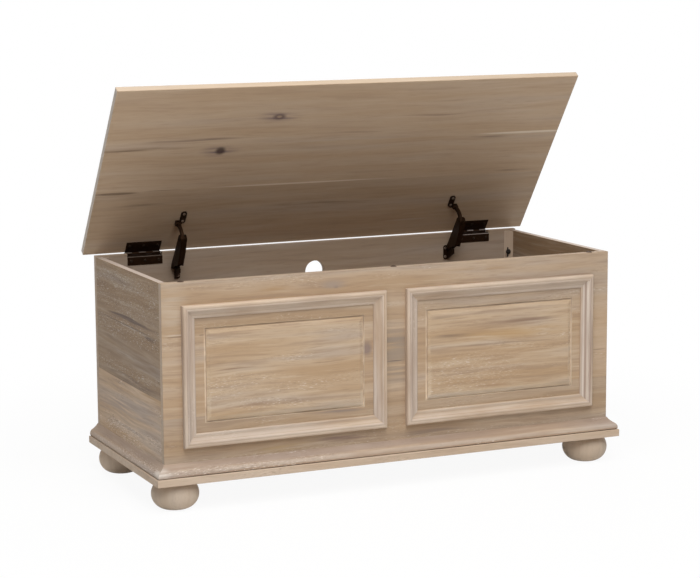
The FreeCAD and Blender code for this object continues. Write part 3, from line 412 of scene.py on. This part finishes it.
backBoard = {
    **acacia, "shift": (0, 0, 300), "boards": [(0, 1.0), (210, 0.97), (345, 1.0)],
    "ground": "#b9a592", "figured": 0.6, "flecks": 0.3,
    # painted shade: the inner face is darkened to 0.7
    # painted shade: the top edge is darkened as it lies in the shade of the lid
    "bareAndShaded": ((0, -1, 0), 0.7), "edges": [((0, 0, 1), "#a4917f", 0.7)],
}
dress(["back_panel"], washedAcacia("washed acacia, back boards", backBoard))
sideBoards = {
    **acacia, "turn": (-90, -90, 0), "boards": [(0, 1.18), (235.5, 0.77), (363.5, 0.8)],
    "figured": 1.15, "flecks": 2.8,
    "joints": [((-224, 224), 363.5, 1.6, "#5d4d46", 0.6), ((-224, 224), 235.5, 1.6, "#6b594e", 0.6)],
    "marks": [
        ((-60, 357), (170, 5), 0.1, "#dccfc2", 0.6),  # wash under the upper joint, then dirt at both joints
        ((0, 375), (230, 13), 0.2, "#66544f", 0.7), ((0, 245), (230, 11), 0.2, "#6e5c54", 0.6),
        ((90, 320), (110, 12), 0.1, "#76655c", 0.4), ((60, 180), (120, 14), 0.1, "#8f7f74", 0.4),
        ((0, 420), (420, 60), 0.1, "#a08468", 0.3), ((0, 300), (420, 60), 0.1, "#a08468", 0.35),
        ((0, 175), (420, 70), 0.1, "#9b8e86", 0.45), ((-150, 355), (60, 9), 0.1, "#5d4b47", 0.5),
    ],
    "rubbed": [((0, 430), (330, 60)), ((0, 350), (330, 30)), ((0, 262), (260, 18)), ((40, 120), (150, 24))],
    "edges": [((0, 0, 1), "#c4b6ab", 0.85)],
}
for side, inwards in zip(sides, (1, -1)):
    # painted shade: the inner faces are darkened to 0.86
    panel = {**sideBoards, "bareAndShaded": ((inwards, 0, 0), 0.86)}
    dress([side + "_side_panel"], washedAcacia("washed acacia, %s side boards" % side, panel))
lidFront = tuple(shut.transposed() @ Vector((0, -1, 0)))
lidBoard = {
    **acacia, "turn": (opening, 0, 0), "shift": tuple(-(shut @ hingeAxis)),
    "boards": [(0, 1.05), (-308, 1.0), (-183, 0.9)], "figured": 0.5, "flecks": 0.0,
    "joints": [
        ((-575, -450), -182, 5.0, "#6a5645", 0.7), ((-460, -345), -185, 1.6, "#725e4d", 0.5),
        ((-330, 190), -186, 2.6, "#d8c8b4", 0.75), ((330, 640), -308.5, 4.0, "#dccdba", 0.75),
    ],
    "marks": [
        # two knots with their halos
        ((-168, -388), (66, 20), 0.1, "#7d6c6b", 0.85), ((-170, -388), (21, 13), 0.35, "#5f4d4b", 0.85),
        ((-170, -388), (9, 6), 0.3, "#a68e78", 0.8),
        ((-290, -293), (60, 19), 0.1, "#7d6c6b", 0.85), ((-290, -293), (17, 13), 0.3, "#453634", 0.9),
        # brown streaks, the arched figure at the right and pale streaks near the hinges
        ((-480, -306), (140, 9), 0.1, "#705b49", 0.6), ((-350, -327), (150, 4.5), 0.2, "#79665a", 0.65),
        ((60, -332), (110, 5), 0.2, "#857162", 0.45), ((210, -376), (120, 3), 0.2, "#7f6b5d", 0.5),
        ((240, -416), (80, 4), 0.2, "#7f6b5d", 0.4), ((380, -299), (75, 5), 0.2, "#7a675a", 0.5),
        ((-425, -147), (110, 5), 0.2, "#6c594b", 0.45), ((480, -190), (70, 5), 0.2, "#6c594b", 0.5),
        ((0, -120), (200, 7), 0.1, "#786554", 0.4),
        ((240, -50), (90, 4), 0.2, "#bdab98", 0.45), ((500, -46), (50, 4), 0.2, "#bdab98", 0.45),
    ],
    # painted highlight: the front edge is paler where it faces up to the light; the ends are end grain
    "edges": [(lidFront, "#d6c8b4", 0.35), ((-1, 0, 0), "#d3cac0", 0.85), ((1, 0, 0), "#d3cac0", 0.85)],
}
dress(["lid_board"], washedAcacia("washed acacia, lid boards", lidBoard))
baseBoard = {**acacia, "turn": (0, 0, 0), "figured": 0.45, "ground": "#c9b5a1"}
dress(["base_board"], washedAcacia("washed acacia, base board", baseBoard))

# the wash lies thick in the hollows and on the rounds of the mouldings, and lines along them add painted
# light and painted shade
moulded = {**acacia, "ground": "#b39f90", "figured": 0.8}
allHeights = (520, 500)  # full up to 500, which is above the box
# pale lines along the frame profile: wash, with painted highlights on the bead tops and painted light lifting
# the shade of the cove
frameWashAndLight = [
    (3.0, 4.5, "#e3cfb8", 0.4, allHeights), (11.0, 2.6, "#e2d8cd", 0.25, allHeights),
    (25.5, 4.5, "#ddd3c8", 0.3, allHeights), (18.0, 5.0, "#d6c9bb", 0.3, allHeights),
    (8.0, 14.0, "#d8cabc", 0.2, (200, 160)), (11.5, 5.0, "#e0cfbe", 0.4, (300, 400)),
]
frontFrames = {**moulded, "frame": frontBoard["frame"], "lines": frameWashAndLight}
frontRails = {**frontFrames, "ground": "#b09b88", "shift": (0, 0, 600)}
rails = [side + "_frame_" + edge for side in sides for edge in ("top", "bottom")]
dress(rails, washedAcacia("washed acacia, level mouldings", frontRails))
frontStiles = {**frontFrames, "turn": (0, 90, 0)}
stiles = ["left_frame_left", "left_frame_right", "right_frame_left"]
dress(stiles, washedAcacia("washed acacia, upright mouldings", frontStiles))
hollowShadeAndWash = [  # painted shade and pale wash with painted highlight, by turns along the steps of the profile
    (9.0, 2.0, "#8a7268", 0.45, allHeights), (13.5, 2.2, "#e9e1d7", 0.35, allHeights),
    (17.5, 2.0, "#8a7268", 0.55, allHeights), (22, 2.2, "#efe7de", 0.45, allHeights),
]
rightEdge = {**frontStiles, "ground": "#ab9687", "lines": frameWashAndLight + hollowShadeAndWash}
dress(["right_frame_right"], washedAcacia("washed acacia, right frame's edge", rightEdge))
cornerPosts = {**moulded, "turn": (0, 90, 0), "ground": "#b7a492", "figured": 0.4}
posts = ["%s_%s_corner_post" % (row, side) for row in rows for side in sides]
dress(posts, washedAcacia("washed acacia, corner posts", cornerPosts))
skirt = {
    **moulded, "shift": (0, 0, 700), "ground": "#ad9b8d", "flecks": 2.4,
    "rubbed": [((-410, 84), (190, 12))],
    "marks": [((-548, 86), (30, 16), 0.2, "#ded5ca", 0.6)],  # worn pale at the left mitre
    "lines": [
        # painted shade: the dark line at the foot lies where the nose overhangs the base board; higher up the
        # slope is darker, and the pale line on the nose is wash
        (76.3, 1.2, "#4a382e", 0.9, allHeights), (97, 8, "#968273", 0.6, allHeights),
        (85, 6, "#cfc3b8", 0.35, allHeights),
    ],
}
dress(["base_moulding_front"], washedAcacia("washed acacia, front skirting", skirt))
sideSkirt = {
    **skirt, "turn": (-90, -90, 0), "shift": (0, 0, 900),
    "boards": [(0, 1.0), (1, 1.08)],  # all of it lies above 1 and is a little paler than the front
    "rubbed": [((-110, 86), (190, 13))], "marks": [((-232, 86), (26, 16), 0.2, "#ded5ca", 0.6)],
}
dress(["base_moulding_left", "base_moulding_right"], washedAcacia("washed acacia, side skirting", sideSkirt))

fields = {
    **acacia, "shift": (0, 0, 1200), "ground": "#bda58a", "flecks": 1.1,
    "marks": [
        # left field
        ((-372, 293), (62, 2.6), 0.2, "#866a53", 0.7), ((-160, 292), (95, 2.6), 0.2, "#866a53", 0.6),
        ((-350, 214), (75, 6), 0.2, "#8f735f", 0.55), ((-200, 222), (110, 5), 0.2, "#9a7f68", 0.4),
        ((-135, 324), (30, 2.5), 0.2, "#d8cbbb", 0.5),
        # right field
        ((140, 322), (80, 7), 0.1, "#7f6d60", 0.6), ((330, 346), (140, 10), 0.1, "#806859", 0.55),
        ((290, 320), (190, 16), 0.1, "#bb9b70", 0.6), ((258, 299), (180, 2.8), 0.2, "#7c6858", 0.7),
        ((258, 285), (230, 100), 0.1, "#a5835f", 0.25), ((300, 200), (150, 9), 0.2, "#9d7c5d", 0.55),
        ((120, 368), (60, 5), 0.2, "#8e7a69", 0.4),
    ],
    "rubbed": [((185, 240), (150, 55)), ((-220, 246), (120, 14))],
    # painted light with the wash: the lower bevels of the fields are paler, lifting the shade of the groove
    # beside them
    "frame": frontBoard["frame"], "lines": [(58, 6, "#e3d3bd", 0.25, (300, 200))],
}
dress(["left_field_panel", "right_field_panel"], washedAcacia("washed acacia, raised fields", fields))
feet = {
    **moulded, "turn": (0, 90, 0), "shift": (0, 0, 1500),
    "boards": [(0, 1.0), (1, 1.25)],  # the front pair, and the back pair painted paler as painted light in the shade under the chest
    "ground": "#c4b3a1", "figured": 0.3, "flecks": 0.3,
}
footNames = ["%s_%s_foot" % (row, side) for row in rows for side in sides]
dress(footNames, washedAcacia("washed acacia, turned feet", feet))
print("wood done")


# two tones that drift into each other in small clouds, sizes in mm, with the roughness following
def cloudedSkin(name, look):
    material, tree = newMaterial(name)
    place = addNode(tree, "ShaderNodeTexCoord")
    cloud = addNode(tree, "ShaderNodeTexNoise", {
        "Vector": place.outputs["Object"], "Scale": 1 / (mm * look["cloudSize"]), "Detail": look["detail"],
    }).outputs[0]
    deep, pale = look["tones"]
    colour = addNode(tree, "ShaderNodeMix", {
        0: cloud, 6: linear(deep), 7: linear(pale),
    }, data_type="RGBA").outputs[2]
    # painted highlight: a paler tone on faces that look up towards the light
    if "paintedGlint" in look:
        facing, turns, tone, amount = look["paintedGlint"]
        share = faceShare(tree, place.outputs["Normal"], facing, turns, (0.0, amount))
        colour = addNode(tree, "ShaderNodeMix", {
            0: share, 6: colour, 7: linear(tone),
        }, data_type="RGBA").outputs[2]
    atDeep, atPale = look["rough"]
    rough = addNode(tree, "ShaderNodeMapRange", {"Value": cloud, "To Min": atDeep, "To Max": atPale})
    skin = addNode(tree, "ShaderNodeBsdfPrincipled", {
        "Base Color": colour, "Roughness": rough.outputs[0], **look["sheen"],
    })
    addNode(tree, "ShaderNodeOutputMaterial", {"Surface": skin.outputs[0]})
    return material


# Oil-rubbed bronze on pressed steel: a near-black brown skin, with a grey painted highlight where a plate is
# bent and faces up to the light.
bronze = {
    "tones": ("#140b05", "#2b1b11"), "cloudSize": 9, "detail": 3.0, "rough": (0.34, 0.52),
    "sheen": {"Metallic": 0.2, "Specular IOR Level": 0.22, "Specular Tint": linear("#b08a6c")},
}
fittings = [name for name in nodes if "hinge" in name or "stay" in name]
hardware = [name for name in fittings if not name.endswith("hinge_box_leaf")]
dress(hardware, cloudedSkin("oil-rubbed bronze", bronze))
bendGlint = {
    "facing": (0, -0.64, 0.77), "turns": (0.88, 0.97),
    "left": ("#7a7068", 0.6), "right": ("#a89c96", 0.75),
}
for side in sides:
    highlighted = {**bronze, "paintedGlint": (bendGlint["facing"], bendGlint["turns"], *bendGlint[side])}
    dress([side + "_hinge_box_leaf"], cloudedSkin("oil-rubbed bronze, worn at the %s bend" % side, highlighted))

# Dark brown soft polymer: small round pads, matt and a little dusty, so they hardly shine.
softPads = {
    "tones": ("#44342b", "#54443a"), "cloudSize": 2.5, "detail": 2.0, "rough": (0.44, 0.58),
    "sheen": {"Specular IOR Level": 0.12},
}
dress(["lid_bumpers"], cloudedSkin("dark brown soft polymer", softPads))
print("fittings done")


square = 0.9  # a face whose normal goes this far along an axis is square to it


def pickFaces(piece, wanted):
    # leaves edit mode on, with just the wanted faces selected
    bpy.ops.object.mode_set(mode="EDIT")
    bpy.ops.mesh.select_mode(type="FACE")
    bpy.ops.mesh.select_all(action="DESELECT")
    bpy.ops.object.mode_set(mode="OBJECT")
    for face in piece.data.polygons:
        face.select = wanted(face)
    bpy.ops.object.mode_set(mode="EDIT")


def setOut(model, name, seats, facing):
    # copies of one model on their seats, joined into one piece with its place in the mesh
    copies = []
    for seat, way in zip(seats, facing):
        piece = model.copy()
        piece.data = model.data.copy()
        bpy.context.collection.objects.link(piece)
        piece.location = Vector(seat) * mm
        piece.rotation_euler = Vector(way).to_track_quat("Z", "Y").to_euler()
        copies.append(piece)
    bpy.ops.object.select_all(action="DESELECT")
    for piece in copies:
        piece.select_set(True)
    bpy.context.view_layer.objects.active = copies[0]
    bpy.ops.object.join()
    bpy.ops.object.transform_apply(location=True, rotation=True, scale=True)
    copies[0].name = name
    copies[0].data.name = name
    return copies[0]


def mirrored(*places):
    return sorted(sign * place for sign in (-1, 1) for place in places)


# Steel screws browned like the plates, with the colour rubbed off the heads by the driver: small grey-brown
# glints. The stay screws take a much paler tone, partly a painted glint.
screwLook = {
    "head": 3.3, "headSides": 24, "top": 1.2, "round": 0.6, "roundSteps": 4,
    "shank": 1.6, "depth": 12.3, "point": 0.05, "recess": (3.9, 0.95, 0.8), "smoothTo": 35,
    "browned": "#1d140d", "rubbed": {"hinge": "#433529", "stay": "#b7a596"},
    "cloudSize": 2, "detail": 2.0, "rough": (0.44, 0.24), "sheen": {"Metallic": 0.8},
}
screwSkins = {}
for kind, tone in screwLook["rubbed"].items():
    tones = (screwLook["browned"], tone)
    screwSkins[kind] = cloudedSkin("browned steel, %s screws" % kind, {**screwLook, "tones": tones})

bpy.ops.object.select_all(action="DESELECT")
top = screwLook["top"] * mm
bpy.ops.mesh.primitive_cylinder_add(
    vertices=screwLook["headSides"], radius=screwLook["head"] * mm, depth=top, location=(0, 0, top / 2))
screw = bpy.context.object
bpy.ops.object.transform_apply(location=True)
pickFaces(screw, lambda face: face.normal.z > square)
bpy.ops.mesh.bevel(offset=screwLook["round"] * mm, segments=screwLook["roundSteps"], affect="EDGES")
pickFaces(screw, lambda face: face.normal.z < -square)
bpy.ops.mesh.inset(thickness=(screwLook["head"] - screwLook["shank"]) * mm)
shankRun = (screwLook["depth"] - screwLook["shank"]) * mm
bpy.ops.mesh.extrude_region_move(TRANSFORM_OT_translate={"value": (0, 0, -shankRun)})
bpy.ops.mesh.extrude_region_move(TRANSFORM_OT_translate={"value": (0, 0, -screwLook["shank"] * mm)})
bpy.ops.transform.resize(value=(screwLook["point"], screwLook["point"], 1.0))
bpy.ops.object.mode_set(mode="OBJECT")
long, wide, deep = [size * mm for size in screwLook["recess"]]
for across, along in ((long, wide), (wide, long)):
    bpy.ops.object.select_all(action="DESELECT")
    bpy.ops.mesh.primitive_cube_add(size=1, location=(0, 0, top), scale=(across, along, 2 * deep))
    cutter = bpy.context.object
    recess = screw.modifiers.new("recess", "BOOLEAN")
    recess.object, recess.operation = cutter, "DIFFERENCE"
    bpy.context.view_layer.objects.active = screw
    bpy.ops.object.modifier_apply(modifier="recess")
    bpy.data.objects.remove(cutter)
bpy.ops.object.select_all(action="DESELECT")
screw.select_set(True)
bpy.ops.object.shade_smooth_by_angle(angle=math.radians(screwLook["smoothTo"]))

# each set by its places along the chest, and by the depth and height of its head tops there
underLid = tuple(shut.transposed() @ Vector((0, 0, -1)))
hingeHoles = mirrored(386.5, 419.5, 452.5)
screwSets = {
    "hinge_box_screws": {
        "body": "chest", "facing": (0, -1, 0), "along": hingeHoles, "tops": [(207.0, 471.5)],
    },
    "hinge_lid_screws": {
        "body": "lid", "facing": underLid, "along": hingeHoles, "tops": [(216.02, 503.33)],
    },
    "stay_box_screws": {
        "body": "chest", "facing": (0, -1, 0), "along": mirrored(341.5),
        "tops": [(205.8, 452.4), (205.8, 431.0)],
    },
    "stay_lid_screws": {
        "body": "lid", "facing": underLid, "along": mirrored(339.9),
        "tops": [(174.43, 559.46), (162.51, 576.14)],
    },
}
for name, group in screwSets.items():
    heads = [Vector((x, y, z)) for x in group["along"] for y, z in group["tops"]]
    seats = [head - Vector(group["facing"]) * screwLook["top"] for head in heads]
    piece = setOut(screw, "cross_" + name, seats, [group["facing"]] * len(seats))
    piece.data.materials.append(screwSkins[name.split("_")[0]])
    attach(piece, group["body"])
    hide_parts(name)
bpy.data.objects.remove(screw)

# Black oxide steel: washer, wing nut and bolt end at each corner post, dull black with a faint grey shine.
boltLook = {
    "washer": (6.0, 1.6, 32), "hub": (4.8, 5.0, 28), "stud": (2.7, 6.0, 20),  # radius, height, sides
    "shank": (3.0, 7.0), "ringRound": (0.45, 2),
    "wing": (2.2, 9.5, 6.0), "wingSeat": (2.0, 2.4), "flare": 2.4, "wingRound": (0.7, 3), "smoothTo": 30,
    "across": 512.0, "deep": 201.5, "heights": (128.0, 433.5),
    "tones": ("#17120f", "#2a2320"), "cloudSize": 3, "detail": 2.0, "rough": (0.36, 0.56),
    "sheen": {"Metallic": 0.5},
}
blackSteel = cloudedSkin("black oxide steel", boltLook)
dress(["foot_bolts"], blackSteel)

parts = []
height = 0.0
for name in ("washer", "hub", "stud"):
    radius, rise, ringSides = boltLook[name]
    offset, steps = boltLook["ringRound"]
    bpy.ops.object.select_all(action="DESELECT")
    bpy.ops.mesh.primitive_cylinder_add(
        vertices=ringSides, radius=radius * mm, depth=rise * mm, location=(0, 0, (height + rise / 2) * mm))
    ring = bpy.context.object
    bpy.ops.object.transform_apply(location=True)
    pickFaces(ring, lambda face: face.normal.z > square)
    bpy.ops.mesh.bevel(offset=offset * mm, segments=steps, affect="EDGES")
    bpy.ops.object.mode_set(mode="OBJECT")
    height += rise
    parts.append(ring)
bolt = parts[0]
bpy.ops.object.select_all(action="DESELECT")
bpy.context.view_layer.objects.active = bolt
pickFaces(bolt, lambda face: face.normal.z < -square)
shankRadius, shankRun = boltLook["shank"]
bpy.ops.mesh.inset(thickness=(boltLook["washer"][0] - shankRadius) * mm)
bpy.ops.mesh.extrude_region_move(TRANSFORM_OT_translate={"value": (0, 0, -shankRun * mm)})
bpy.ops.object.mode_set(mode="OBJECT")
thick, span, tall = [size * mm for size in boltLook["wing"]]
inner, lift = [size * mm for size in boltLook["wingSeat"]]
offset, steps = boltLook["wingRound"]
bpy.ops.object.select_all(action="DESELECT")
bpy.ops.mesh.primitive_cube_add(
    size=1, location=(0, inner + span / 2, lift + tall / 2), scale=(thick, span, tall))
wing = bpy.context.object
bpy.ops.object.transform_apply(location=True, scale=True)
pickFaces(wing, lambda face: face.normal.y > square)
bpy.ops.transform.translate(value=(0, 0, boltLook["flare"] * mm))
bpy.ops.mesh.select_all(action="SELECT")
bpy.ops.mesh.bevel(offset=offset * mm, segments=steps, affect="EDGES")
bpy.ops.object.mode_set(mode="OBJECT")
otherWing = wing.copy()
otherWing.data = wing.data.copy()
bpy.context.collection.objects.link(otherWing)
otherWing.rotation_euler = (0, 0, math.pi)
parts += [wing, otherWing]
bpy.ops.object.select_all(action="DESELECT")
for part in parts:
    part.select_set(True)
bpy.context.view_layer.objects.active = bolt
bpy.ops.object.join()
bpy.ops.object.shade_smooth_by_angle(angle=math.radians(boltLook["smoothTo"]))
bolt.data.materials.append(blackSteel)
corners = [
    (x, y, z)
    for x in mirrored(boltLook["across"]) for y in mirrored(boltLook["deep"])
    for z in boltLook["heights"]
]
inwards = [(-math.copysign(1, x), -math.copysign(1, y), 0) for x, y, z in corners]
piece = setOut(bolt, "corner_nuts", corners, inwards)
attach(piece, "chest")
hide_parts("corner_bolts")
bpy.data.objects.remove(bolt)
print("screws and bolts done")
